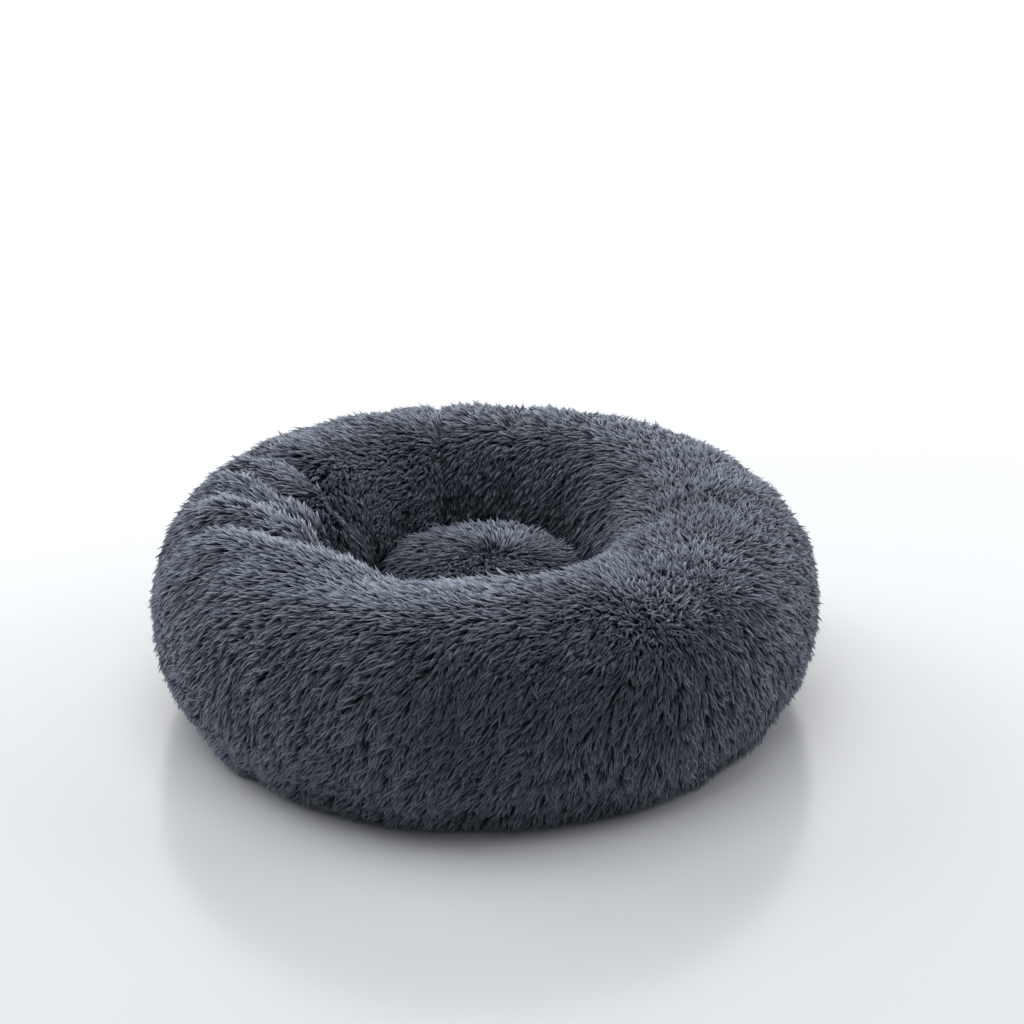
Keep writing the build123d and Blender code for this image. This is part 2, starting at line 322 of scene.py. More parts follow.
def woven_material(name, dark, light, threads_per_metre, roughness=0.75, sheen=0.1, depth=0.0002):
    """Plain weave: two sets of threads crossing, with a slow drift of colour over the cloth."""
    material, tree, shader = new_material(name, roughness=roughness, specular=0.25, sheen=sheen)
    place = tree.nodes.new("ShaderNodeTexCoord")
    link = tree.links.new
    sets = []
    for direction in ("X", "Y"):
        thread = tree.nodes.new("ShaderNodeTexWave")
        thread.bands_direction = direction
        thread.wave_profile = "SIN"
        thread.inputs["Scale"].default_value = threads_per_metre / BANDS_PER_SCALE
        thread.inputs["Distortion"].default_value = 0.6
        thread.inputs["Detail"].default_value = 2.0
        link(place.outputs["Object"], thread.inputs["Vector"])
        sets.append(thread)
    weave = tree.nodes.new("ShaderNodeMath")
    weave.operation = "MULTIPLY"
    link(sets[0].outputs["Fac"], weave.inputs[0])
    link(sets[1].outputs["Fac"], weave.inputs[1])
    total = tree.nodes.new("ShaderNodeMath")
    total.operation = "MULTIPLY_ADD"
    total.inputs[1].default_value = 0.5
    link(noise(tree, 9.0), total.inputs[0])
    link(weave.outputs["Value"], total.inputs[2])
    link(ramp(tree, [(0.15, dark), (0.95, light)], total.outputs["Value"]), shader.inputs["Base Color"])
    add_bump(tree, shader, weave.outputs["Value"], 0.7, depth)
    return material


def metal_material(name, dark, light):
    """Plated metal with faint wear and brushing."""
    material, tree, shader = new_material(name, roughness=0.32, specular=0.5, metallic=1.0)
    cloud = noise(tree, 900.0, 5.0)
    tree.links.new(ramp(tree, [(0.35, dark), (0.65, light)], cloud), shader.inputs["Base Color"])
    add_bump(tree, shader, cloud, 0.25, 0.00005)
    return material


# The stops run from root to tip; the near-black root end is painted shade deep in the pile.
PLUSH = pile_material(
    "plush_pile",
    [
        (0.0, (0.0075, 0.0085, 0.0120)),
        (0.45, (0.0280, 0.0305, 0.0410)),
        (0.8, (0.104, 0.116, 0.146)),
        (1.0, (0.256, 0.290, 0.356)),
    ],
)
BACKING = speckled_material("plush_backing", (0.016, 0.018, 0.024), (0.034, 0.038, 0.050), 180.0)
LINER_CLOTH = woven_material("liner_cloth", (0.62, 0.61, 0.58), (0.80, 0.79, 0.76), 1400.0)
FIBRE = speckled_material("fibre_filling", (0.70, 0.70, 0.70), (0.88, 0.88, 0.87), 120.0, 0.9, 0.002, 0.3)
WADDING = speckled_material("wadding", (0.66, 0.65, 0.62), (0.84, 0.83, 0.80), 60.0, 0.9, 0.002, 0.2)
BASE_CLOTH = woven_material("base_cloth", (0.020, 0.021, 0.025), (0.070, 0.074, 0.085), 1100.0)
GRIP_CLOTH = woven_material("grip_cloth", (0.012, 0.012, 0.014), (0.040, 0.041, 0.046), 1300.0)
GRIP_RUBBER = speckled_material("grip_rubber", (0.10, 0.10, 0.105), (0.15, 0.15, 0.155), 400.0, 0.45, 0.0001)
BINDING_TAPE = woven_material("binding_tape", (0.014, 0.015, 0.018), (0.050, 0.052, 0.060), 1600.0)
THREAD = speckled_material("thread", (0.10, 0.105, 0.12), (0.17, 0.175, 0.19), 2500.0, 0.6)
PALE_THREAD = speckled_material("pale_thread", (0.45, 0.45, 0.44), (0.62, 0.62, 0.60), 2500.0, 0.6)
ZIP_CLOTH = woven_material("zip_cloth", (0.012, 0.013, 0.016), (0.042, 0.044, 0.052), 1800.0)
ZIP_NYLON = speckled_material("zip_nylon", (0.020, 0.021, 0.025), (0.034, 0.036, 0.042), 900.0, 0.35)
ZIP_METAL = metal_material("zip_metal", (0.30, 0.30, 0.32), (0.44, 0.44, 0.46))
SATIN = woven_material("satin_label", (0.66, 0.66, 0.65), (0.84, 0.84, 0.83), 2600.0, 0.35, 0.3, 0.00005)


# ---------------------------------------------------------------- stitches


def stitch_line(name, path, up, length, gap, radius, material, body, slot):
    """Sewing thread along a path: a row of short rounded stitches, each sunk at its ends."""
    up = np.broadcast_to(up, path.shape)
    ahead = np.diff(path, axis=0)
    reach = np.concatenate([[0.0], np.cumsum(np.linalg.norm(ahead, axis=1))])
    starts = np.arange(0.0, reach[-1] - length, length + gap)
    rings = (0.0, 0.18, 0.5, 0.82, 1.0)
    corners = 6
    points, faces = [], []

    def at(distance, values):
        return np.array([np.interp(distance, reach, values[:, k]) for k in range(3)])

    for start in starts:
        first = len(points)
        for share in rings:
            here = start + share * length
            centre, lift = at(here, path), unit(at(here, up))
            way = unit(at(here + 1e-4, path) - at(here - 1e-4, path) + 1e-12)
            side = np.cross(way, lift)
            arch = math.sin(math.pi * share)
            thick = radius * (0.35 + 0.65 * arch**0.5)
            for k in range(corners):
                turn = 2 * math.pi * k / corners
                offset = side * math.cos(turn) + lift * math.sin(turn)
                points.append(centre + lift * radius * (arch - 0.5) + offset * thick)
        for ring in range(len(rings) - 1):
            for k in range(corners):
                n = (k + 1) % corners
                low = first + ring * corners
                faces.append((low + k, low + n, low + corners + n, low + corners + k))
        last = first + (len(rings) - 1) * corners
        faces.append(tuple(first + k for k in reversed(range(corners))))
        faces.append(tuple(last + k for k in range(corners)))
    return mesh_piece(name, points, faces, material, body, slot, mend=True)


def circle_path(radius, height):
    """A closed path round the axis."""
    return round_points(np.linspace(0.0, 2 * math.pi, 360), radius, height)


# ---------------------------------------------------------------- ring skin

# Folds over the crest of the ring: (azimuth, section angle) points in degrees, the depth, which is
# below 0 for a ridge, and the half width, in metres.
FOLDS = [
    ([(146, 88), (148, 112), (147, 135), (149, 165)], -0.004, 0.016),
    ([(153, 72), (155, 92), (159, 110), (165, 135)], 0.008, 0.013),
    ([(158, 70), (163, 92), (170, 108), (178, 130)], -0.008, 0.012),
    ([(163, 76), (167, 90), (179, 105), (185, 124), (187, 145)], 0.014, 0.017),
    ([(169, 66), (174, 84), (187, 104), (192, 128)], -0.010, 0.013),
    ([(172, 60), (183, 90), (195, 104), (200, 118)], 0.013, 0.012),
    ([(186, 72), (195, 96), (206, 106)], -0.009, 0.014),
    ([(190, 62), (204, 88), (218, 99), (228, 112)], 0.012, 0.012),
    ([(200, 68), (218, 90), (235, 96)], -0.008, 0.016),
    ([(99, 66), (101, 100), (104, 126), (106, 150), (108, 172)], 0.013, 0.008),
    ([(81, 76), (78, 105), (75, 132), (77, 155)], 0.006, 0.010),
    ([(344, 116), (352, 98), (352, 84), (346, 70)], 0.004, 0.014),
]

# Where the front lip of the nest sags, and where the nest's left edge is pulled outwards: the azimuth, how
# far in metres, and the half width in radians
LIP_SAGS = (
    (math.radians(243), 0.013, 0.40),
    (math.radians(288), 0.006, 0.45),
)
NEST_OPENING = (math.radians(212), 0.018, 0.50)


# Besides shaping the skin, the fold depth darkens the tufts' tone in grooves and lightens it on ridges, as
# painted shade and painted highlight.
def fold_depth(azimuth, section):
    """How deep the folds press the skin in, at each point of the ring."""
    depth = np.zeros_like(azimuth)
    for points, deepest, half_width in FOLDS:
        line = np.radians(np.array(points, float))
        nearest = np.full(azimuth.shape, np.inf)
        for (a0, s0), (a1, s1) in zip(line[:-1], line[1:]):
            reach = RING_RADIUS + TUBE_HALF_WIDTH * 0.8 * np.cos((s0 + s1) / 2)
            along = np.array([(a1 - a0) * reach, (s1 - s0) * TUBE_HALF_WIDTH * 0.9])
            x = angle_gap(azimuth, a0) * reach
            y = angle_gap(section, s0) * TUBE_HALF_WIDTH * 0.9
            k = np.clip((x * along[0] + y * along[1]) / (along @ along), 0.0, 1.0)
            nearest = np.minimum(nearest, np.hypot(x - k * along[0], y - k * along[1]))
        depth += deepest * np.exp(-((nearest / half_width) ** 2))
    return depth


def ring_surface(azimuth, section, inset):
    """Points of the ring that far inside the tips of its pile, for arrays of azimuth and section angle."""
    c, s = np.cos(section), np.sin(section)
    power = 2.0 / np.where(s > 0, UPPER_EXPONENT, LOWER_EXPONENT)
    out = np.sign(c) * np.abs(c) ** power
    up = np.sign(s) * np.abs(s) ** power
    swell = 0.0022 * np.sin(3 * azimuth + 0.6) + 0.0016 * np.sin(7 * azimuth + 2.1) * np.cos(section)
    sag = sum(depth * near_azimuth(azimuth, middle, width) for middle, depth, width in LIP_SAGS)
    middle, pull, width = NEST_OPENING
    opening = pull * near_azimuth(azimuth, middle, width) * smooth(up, 0.1, 0.9) * smooth(-out, 0.0, 0.8)
    radius = RING_RADIUS + (TUBE_HALF_WIDTH - inset + swell) * out + opening
    height = RING_MID_Z + (TUBE_HALF_HEIGHT - inset + 0.5 * swell) * up
    height = height - sag * smooth(up, 0.3, 1.0) * smooth(-out, -0.75, 0.35)
    return radius, height


def zip_frame():
    """A point on the zip's line as (radius, height), the wall's outward normal and the way up the wall."""
    c, s = math.cos(ZIP_SECTION_ANGLE), math.sin(ZIP_SECTION_ANGLE)
    place = np.array([RING_RADIUS + TUBE_HALF_WIDTH * c, RING_MID_Z + TUBE_HALF_HEIGHT * s])
    slope = math.atan2(s / TUBE_HALF_HEIGHT, c / TUBE_HALF_WIDTH)
    normal = np.array([math.cos(slope), math.sin(slope)])
    upward = np.array([-math.sin(slope), math.cos(slope)])
    return place, normal, upward


def in_zip_frame(radius, height):
    """How far up the wall from the zip's line a point is, and how far out of the wall."""
    place, normal, upward = zip_frame()
    x, z = radius - place[0], height - place[1]
    return x * upward[0] + z * upward[1], x * normal[0] + z * normal[1]


def inside_parting(azimuth):
    """How far inside the ends of the parting an azimuth is, as an angle that is below 0 outside."""
    start, end = PARTING_AZIMUTHS
    return (end - start) / 2 - np.abs(angle_gap(azimuth, (start + end) / 2))


def press_parting(azimuth, radius, height, extra_inset):
    """Presses the skin back to a flat floor under the zip."""
    normal = zip_frame()[1]
    up_wall, out_wall = in_zip_frame(radius, height)
    within = smooth(inside_parting(azimuth), -0.01, 0.06)
    weight = within * (1 - smooth(np.abs(up_wall), PARTING_HALF_WIDTH, PARTING_HALF_WIDTH + 0.006))
    weight = weight * (radius > RING_RADIUS)
    move = weight * (PARTING_FLOOR - extra_inset - out_wall)
    return radius + move * normal[0], height + move * normal[1]


def ring_grid(extra_inset=0.0, fold_share=1.0):
    """The ring's skin as a grid of points, azimuth by section angle, and those angles."""
    around = np.arange(AZIMUTH_STEPS) * 2 * np.pi / AZIMUTH_STEPS
    across = np.arange(SECTION_STEPS) * 2 * np.pi / SECTION_STEPS
    azimuth, section = np.meshgrid(around, across, indexing="ij")
    under = smooth(-np.sin(section), 0.62, 0.90)
    inset = PILE_DEPTH * (1 - under) + 0.0012 * under
    depth = fold_share * fold_depth(azimuth, section)
    radius, height = ring_surface(azimuth, section, inset + depth + extra_inset)
    radius, height = press_parting(azimuth, radius, height, extra_inset)
    height = np.maximum(height, BASE_TOP + 0.0004 + extra_inset)
    return round_points(azimuth, radius, height), azimuth, section


def grid_normals(points):
    """Outward normals of a grid that closes both ways."""
    along = np.roll(points, -1, 0) - np.roll(points, 1, 0)
    across = np.roll(points, -1, 1) - np.roll(points, 1, 1)
    return unit(np.cross(along, across))


# ---------------------------------------------------------------- pile

# A tuft bends once. These are the shares of its length before and after the bend, how much of its lean
# each takes, its thickness at the root and the bend, and how far along it each of its corners is.
TUFT_TONES = 64
TUFT_SHARES = (0.52, 0.48)
TUFT_BENDS = (0.75, 1.18)
TUFT_THICKNESS = (0.85, 1.0)
TUFT_HEIGHTS = np.array([0.0, 0.0, 0.0, 0.52, 0.52, 0.52, 1.0])
LOWEST_TIP = 0.0012


def tuft_loops():
    """The corners of one tuft's faces: quads up its sides, triangles at the tip, and one at the root."""
    quads, tris = [], [(0, 2, 1)]
    for corner in range(3):
        n = (corner + 1) % 3
        quads.append((corner, n, 3 + n, 3 + corner))
        tris.append((3 + corner, 3 + n, 6))
    return np.array(quads).ravel(), np.array(tris).ravel()


def tuft_points(tufts, rng):
    """The corners of every tuft: two rings of three and a tip, along a curve that lies over and droops."""
    count = len(tufts["root"])
    down = np.array([0.0, 0.0, -1.0])
    normals, combs = tufts["normal"], tufts["comb"]
    centre = [tufts["root"] - normals * 0.0015]
    directions = []
    curl = tufts["curl"]
    across = np.cross(normals, combs)
    for share, bend in zip(TUFT_SHARES, TUFT_BENDS):
        tilt = np.clip(tufts["lean"] * bend, 0.0, 1.45)[:, None]
        turn = (curl * (bend - 0.8))[:, None]
        lie = combs * np.cos(turn) + across * np.sin(turn)
        step = unit(normals * np.cos(tilt) + lie * np.sin(tilt) + down * tufts["droop"][:, None] * bend)
        directions.append(step)
        centre.append(centre[-1] + step * (tufts["length"] * share)[:, None])
    twist = rng.random(count) * 2 * np.pi
    rings = []
    for k, thick in enumerate(TUFT_THICKNESS):
        side = unit(np.cross(directions[k], normals) + 1e-6)
        top = np.cross(side, directions[k])
        for corner in range(3):
            a = twist + corner * 2 * np.pi / 3
            offset = side * np.cos(a)[:, None] + top * (0.75 * np.sin(a))[:, None]
            rings.append(centre[k] + offset * (tufts["width"] * thick)[:, None])
    points = np.stack(rings + [centre[-1]], 1)
    points[..., 2] = np.maximum(points[..., 2], LOWEST_TIP)
    return points


def tuft_piece(name, tufts, rng, body):
    """One piece of pile, from the roots, directions and sizes of its tufts."""
    count = len(tufts["root"])
    points = tuft_points(tufts, rng)
    quads, tris = tuft_loops()
    per = len(TUFT_HEIGHTS)
    base = (np.arange(count) * per)[:, None]
    loops = np.concatenate([base + quads, base + tris], 1)
    sizes = np.tile(np.array([4] * 3 + [3] * 4), count)
    starts = np.concatenate([[0], np.cumsum(sizes)[:-1]])
    local = np.concatenate([quads, tris])
    tone = (np.clip(tufts["tone"], 0.0, 0.999) * TUFT_TONES).astype(int)
    u = np.repeat(((tone + 0.5) / TUFT_TONES)[:, None], len(local), 1)
    v = np.repeat(TUFT_HEIGHTS[local][None, :], count, 0)
    # The first tufts spread over the whole colour chart, so that a bake fills it; the rest read it.
    chart = min(TUFT_TONES, count)
    spread = np.array([0.0, 1.0, 0.5] * 2 + [0.5])[local]
    u[:chart] = (np.arange(chart)[:, None] + spread[None, :]) / TUFT_TONES
    mesh = bpy.data.meshes.new(name)
    mesh.vertices.add(count * per)
    mesh.vertices.foreach_set("co", points.astype(np.float32).ravel())
    mesh.loops.add(loops.size)
    mesh.loops.foreach_set("vertex_index", loops.astype(np.int32).ravel())
    mesh.polygons.add(len(sizes))
    mesh.polygons.foreach_set("loop_start", starts.astype(np.int32))
    mesh.polygons.foreach_set("use_smooth", np.ones(len(sizes), bool))
    layer = mesh.uv_layers.new(name="OFBake")
    layer.data.foreach_set("uv", np.stack([u, v], -1).astype(np.float32).ravel())
    mesh.update(calc_edges=True)
    return place_piece(name, mesh, PLUSH, body)


WAVES = 7


def wave(azimuth, section, rng, low=3, high=14):
    """A smooth random number between about -1 and 1 all over the surface."""
    total = np.zeros_like(azimuth)
    for _ in range(WAVES):
        a, s = rng.integers(low, high), rng.integers(1, max(5, high // 3))
        total += np.sin(a * azimuth + s * section * rng.choice([-1, 1]) + rng.random() * 6.3)
    return total / math.sqrt(WAVES)


def scatter(cell_area, density, rng):
    """Picks grid cells for tufts, and a place in each cell."""
    wanted = cell_area * density
    number = np.floor(wanted + rng.random(wanted.shape)).astype(int)
    i, j = np.nonzero(number)
    reps = number[i, j]
    i, j = np.repeat(i, reps), np.repeat(j, reps)
    n = np.arange(len(i))
    fu = (n * 0.7548776662 + 0.25 * rng.random(len(i))) % 1.0
    fv = (n * 0.5698402910 + 0.25 * rng.random(len(i))) % 1.0
    return i, j, fu, fv


def grid_sample(grid, i, j, fu, fv):
    """Values of a grid between its points; the rows close on themselves."""
    i2 = (i + 1) % grid.shape[0]
    j2 = (j + 1) % grid.shape[1]
    if grid.ndim == 3:
        fu, fv = fu[:, None], fv[:, None]
    return (
        grid[i, j] * (1 - fu) * (1 - fv)
        + grid[i2, j] * fu * (1 - fv)
        + grid[i, j2] * (1 - fu) * fv
        + grid[i2, j2] * fu * fv
    )


# The pile of the ring grows away from a whorl on the right of the front, a short line on the wall.
WHORL_ENDS = np.radians(np.array([(306.0, 60.0), (318.0, 66.0)]))
# On the crest to the right of the whorl the pile stands up in woolly clumps, which also get painted shade.
WOOLLY_SHADED_AZIMUTH = math.radians(345.0)
WOOLLY_SHADED_SECTION = math.radians(98.0)
# Painted light: the tips are made palest on the crest at the front left, where the light falls most.
LIT_CREST_AZIMUTH = math.radians(230.0)
LIT_CREST_SECTION = math.radians(88.0)
# How strongly the pile hangs down far from the whorl, and how far it leans over from upright
HANG = 0.55
RING_LEAN = 1.04
# How far inside the nest the pile slants from straight down, and how much more at the left of the back
NEST_SLANT = 0.22
BACK_SLANT = 1.1
BACK_SLANT_AZIMUTH = math.radians(136)
# Between these azimuths the slant follows the pile outside, clockwise or counter-clockwise.
EITHER_WAY = (math.radians(205), math.radians(335))
# The section angle where the pile starts to turn down into the nest, how much sooner it does so at the
# back, the angle that the turn takes, and where the nest's pile ends
NEST_TURN_START = math.radians(108)
NEST_TURN_SOONER = math.radians(26)
NEST_TURN_ANGLE = math.radians(48)
NEST_END = math.radians(250)
SECTORS = 9
# Tufts in a square metre, and their usual length and thickness
RING_DENSITY = 140000.0
RING_TUFT_LENGTH = 0.0192
RING_TUFT_RADIUS = 0.00155
# A tuft this far from the middle of its clump lies as much towards the middle as along the pile. A
# clump's size is in radians of azimuth and of section angle.
CLUMP_REACH = 0.016
CLUMP_AZIMUTH = 0.030
CLUMP_SECTION = 0.075
# The short pile over the zip: its length, how much longer it is at the ends of the parting, and its
# growth with the distance up the wall
ZIP_TUFT_LENGTH = 0.006
ZIP_END_LENGTH = 0.014
ZIP_TUFT_GROWTH = 0.85


def from_whorl(points):
    """The way from the nearest point of the whorl line to each point, and how far that is."""
    radius, height = ring_surface(WHORL_ENDS[:, 0], WHORL_ENDS[:, 1], np.array([PILE_DEPTH, PILE_DEPTH]))
    ends = round_points(WHORL_ENDS[:, 0], radius, height)
    line = ends[1] - ends[0]
    k = np.clip(((points - ends[0]) @ line) / (line @ line), 0.0, 1.0)
    away = points - (ends[0] + k[:, None] * line)
    return away, np.linalg.norm(away, axis=-1)


def ring_comb(points, normals, azimuth, section, rng):
    """Which way the pile lies at each root, how far it leans, how near the whorl and how much it lies in the
    clumpy, shaded patch on the right crest.
    """
    away, far = from_whorl(points)
    gravity = np.array([0.0, 0.0, -1.0])
    lie = away / np.maximum(far, 1e-3)[:, None] + gravity * HANG * smooth(far, 0.03, 0.25)[:, None]
    counter = unit(tangent(round_the_axis(azimuth)[1], normals))
    downhill = np.cross(counter, normals)
    outer = np.arctan2((lie * counter).sum(-1), (lie * downhill).sum(-1))
    behind = smooth(np.sin(azimuth), -0.1, 0.5)
    outer = outer * (1 - 0.6 * behind * (1 - smooth(section, 0.9, 1.5)))
    slant = NEST_SLANT + BACK_SLANT * near_azimuth(azimuth, BACK_SLANT_AZIMUTH, 0.58)
    clockwise = (azimuth > EITHER_WAY[0]) & (azimuth < EITHER_WAY[1]) & (outer < 0)
    inner = np.where(clockwise, -(np.pi + slant), np.pi - slant)
    start = NEST_TURN_START - NEST_TURN_SOONER * behind
    in_nest = smooth(section, start, start + NEST_TURN_ANGLE) * (section < NEST_END)
    turn = outer + in_nest * (inner - outer)
    turn = turn + 0.20 * wave(azimuth, section, rng) + 0.12 * wave(azimuth, section, rng, low=16, high=60)
    turn = turn + 0.17 * rng.standard_normal(len(points))
    near = 1 - smooth(far, 0.004, 0.070)
    # The clumpy patch on the right crest; ring_tufts also gives it painted shade in the tone.
    woolly_shaded = near_azimuth(azimuth, WOOLLY_SHADED_AZIMUTH, 0.75) * bump(section, WOOLLY_SHADED_SECTION, 0.62)
    turn = turn + (near * (0.5 + 1.3 * near) + 0.75 * woolly_shaded) * rng.standard_normal(len(points))
    comb = downhill * np.cos(turn)[:, None] + counter * np.sin(turn)[:, None]
    lean = RING_LEAN + 0.11 * wave(azimuth, section, rng, low=5, high=24)
    lean = lean + 0.09 * rng.standard_normal(len(points))
    lean = lean - 16.0 * np.clip(-fold_depth(azimuth, section), 0.0, 0.01)
    return comb, lean * (1 - 0.40 * near - 0.34 * woolly_shaded), near, woolly_shaded


def gather(root, normal, comb, a, s, rng):
    """Turns the tufts of each clump towards its middle; also gives a random number for each tuft's clump."""
    row = np.floor(a / CLUMP_AZIMUTH + 0.7 * wave(a, s, rng, low=20, high=70))
    column = np.floor(s / CLUMP_SECTION + 0.7 * wave(a, s, rng, low=20, high=70))
    clump = np.unique(row * 1000 + column, return_inverse=True)[1].ravel()
    size = np.bincount(clump)
    middle = np.stack([np.bincount(clump, root[:, k]) for k in range(3)], -1) / size[:, None]
    shift = tangent(root - middle[clump], normal)
    return unit(comb - shift / CLUMP_REACH), rng.standard_normal(len(size))[clump]


def ring_tufts(rng):
    """All tufts of the ring, as arrays, and the azimuth of each."""
    points, azimuth, section = ring_grid()
    normals = grid_normals(ring_grid(fold_share=0.45)[0])
    along = np.roll(points, -1, 0) - points
    across = np.roll(points, -1, 1) - points
    area = np.linalg.norm(np.cross(along, across), axis=-1)
    degrees = np.degrees(section)
    grown = (degrees < 206) | (degrees > 300)
    whorl = 1 - smooth(from_whorl(points.reshape(-1, 3))[1].reshape(area.shape), 0.01, 0.05)
    i, j, fu, fv = scatter(area * grown * (1 + 0.6 * whorl), RING_DENSITY, rng)
    root = grid_sample(points, i, j, fu, fv)
    normal = unit(grid_sample(normals, i, j, fu, fv))
    a = (azimuth[i, 0] + fu * 2 * np.pi / AZIMUTH_STEPS) % (2 * np.pi)
    s = (section[0, j] + fv * 2 * np.pi / SECTION_STEPS) % (2 * np.pi)
    comb, lean, near, woolly_shaded = ring_comb(root, normal, a, s, rng)
    comb, clump = gather(root, normal, comb, a, s, rng)
    count = len(root)
    length = RING_TUFT_LENGTH + 0.0018 * rng.standard_normal(count) + 0.0010 * clump
    length = length * (1 - 0.20 * near - 0.12 * woolly_shaded)
    # Painted light on the front-left crest: paler tips there; the pile also stands up more and is a little
    # shorter.
    lit_crest = near_azimuth(a, LIT_CREST_AZIMUTH, 1.0) * bump(s, LIT_CREST_SECTION, 0.55)
    up_wall, _ = in_zip_frame(np.hypot(root[:, 0], root[:, 1]), root[:, 2])
    inside = inside_parting(a)
    at_zip = (inside > 0) & (s > np.pi)
    short = ZIP_TUFT_LENGTH + ZIP_END_LENGTH * (1 - smooth(inside, 0.0, 0.07))
    short = short + ZIP_TUFT_GROWTH * np.maximum(up_wall - PARTING_HALF_WIDTH, 0.0)
    length = np.where(at_zip & (up_wall > -PARTING_HALF_WIDTH), np.minimum(length, short), length)
    tufts = {
        "root": root,
        "normal": normal,
        "comb": comb,
        "lean": lean - 0.28 * lit_crest,
        "length": length * (1 - 0.06 * lit_crest),
        "width": RING_TUFT_RADIUS * (1 + 0.22 * rng.standard_normal(count)) * (1 + 0.22 * near),
        # Random from tuft to tuft and clump to clump; painted light at the whorl, on the lit front-left
        # crest and on ridges; painted shade on the clumpy right crest and in folds
        "tone": 0.45 + 0.16 * rng.standard_normal(count) + 0.08 * clump
        + 0.05 * wave(a, s, rng, low=4, high=16)
        + 0.08 * near - 0.50 * woolly_shaded + 0.52 * lit_crest - 8.0 * fold_depth(a, s),
        "droop": 0.20 + 0.07 * rng.standard_normal(count),
        "curl": 0.45 * rng.standard_normal(count),
    }
    over_tape = (a > ZIP_AZIMUTHS[0] - 0.02) & (a < ZIP_AZIMUTHS[1] + 0.02) & (s > np.pi)
    keep = ~(over_tape & (np.abs(up_wall) < PARTING_HALF_WIDTH))
    return {key: value[keep] for key, value in tufts.items()}, a[keep]


def ring_pile():
    """All of the ring's pile, in pieces by panel and sector."""
    rng = np.random.default_rng(11)
    tufts, azimuth = ring_tufts(rng)
    in_back = (azimuth >= SEAMS[0]) & (azimuth < SEAMS[1])
    main_arc = 2 * np.pi - SEAMS[1] + SEAMS[0]
    sector = (((azimuth - SEAMS[1]) % (2 * np.pi)) / (main_arc / SECTORS)).astype(int)
    sector[in_back] = -1
    for k in range(-1, SECTORS):
        pick = sector == k
        name = "ring_pile_back" if k < 0 else f"ring_pile_main_{k + 1}"
        tuft_piece(name, {key: value[pick] for key, value in tufts.items()}, rng, "bed")


def build_ring():
    """The two panels of the cover, the liner, the filling and the pile."""
    points, _, _ = ring_grid()
    flat = points.reshape(-1, 3)
    step = 2 * math.pi / AZIMUTH_STEPS
    first, last = round(SEAMS[0] / step), round(SEAMS[1] / step)
    back_rows = np.arange(first, last)
    main_rows = np.setdiff1d(np.arange(AZIMUTH_STEPS), back_rows)
    for name, rows, node in (
        ("ring_main_skin", main_rows, "ring_cover_main_panel"),
        ("ring_back_skin", back_rows, "ring_cover_back_panel"),
    ):
        faces = grid_faces(AZIMUTH_STEPS, SECTION_STEPS, rows)
        used, order = np.unique(faces, return_inverse=True)
        faces = order.reshape(faces.shape).tolist()
        skin = mesh_piece(name, flat[used], faces, BACKING, "bed", "slate_plush")
        add_thickness(skin, SKIN_THICKNESS)
        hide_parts(node)
    for name, inset, material, node, slot in (
        ("ring_liner_bag", LINER_INSET, LINER_CLOTH, "ring_liner", "white_liner"),
        ("ring_fibre_core", FILL_INSET, FIBRE, "ring_fibre_fill", "fibre_fill"),
    ):
        inner = ring_grid(inset, fold_share=0.9)[0]
        faces = grid_faces(AZIMUTH_STEPS, SECTION_STEPS, np.arange(AZIMUTH_STEPS))
        core = mesh_piece(name, inner.reshape(-1, 3), faces.tolist(), material, "bed", slot)
        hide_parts(node)
    ring_pile()


build_ring()


# ---------------------------------------------------------------- loose cushion

# Tufts in a square metre, how far they lean over, and their usual length and thickness
CUSHION_DENSITY = 170000.0
CUSHION_LEAN = 1.00
CUSHION_TUFT_LENGTH = 0.0170
CUSHION_TUFT_RADIUS = 0.00145
CUSHION_WHORL = (0.013, 0.004)
BOTTOM_EXPONENT = 2.6


def cushion_half(inset, lower=False, drop=None, radius=None):
    """Half of the cushion as a grid, azimuth by angle from the axis to the edge."""
    rows, columns = CUSHION_STEPS
    azimuth, angle = np.meshgrid(
        np.arange(rows) * 2 * np.pi / rows, np.linspace(0.004, np.pi / 2, columns), indexing="ij"
    )
    exponent = BOTTOM_EXPONENT if lower else CUSHION_EXPONENT
    out = np.sin(angle) ** (2 / exponent)
    up = np.cos(angle) ** (2 / exponent)
    if lower:
        r = radius * out
        pucker = 0.0007 * np.sin(46 * azimuth) * bump(out, 0.97, 0.10)
        z = CUSHION_MID_Z - drop * up - pucker * (up > 0.03) + 0.0005 * np.sin(5 * azimuth) * out * up
    else:
        r = (CUSHION_RADIUS - inset) * out
        uneven = 0.0015 * np.sin(2 * azimuth + 0.4) + 0.0012 * np.sin(5 * azimuth + 1.0)
        sag = 0.006 * near_azimuth(azimuth, -0.2, 0.9) * bump(out, 0.8, 0.35)
        z = CUSHION_MID_Z + (CUSHION_RISE - inset + uneven * out - sag) * up
    return round_points(azimuth, r, z), azimuth, angle


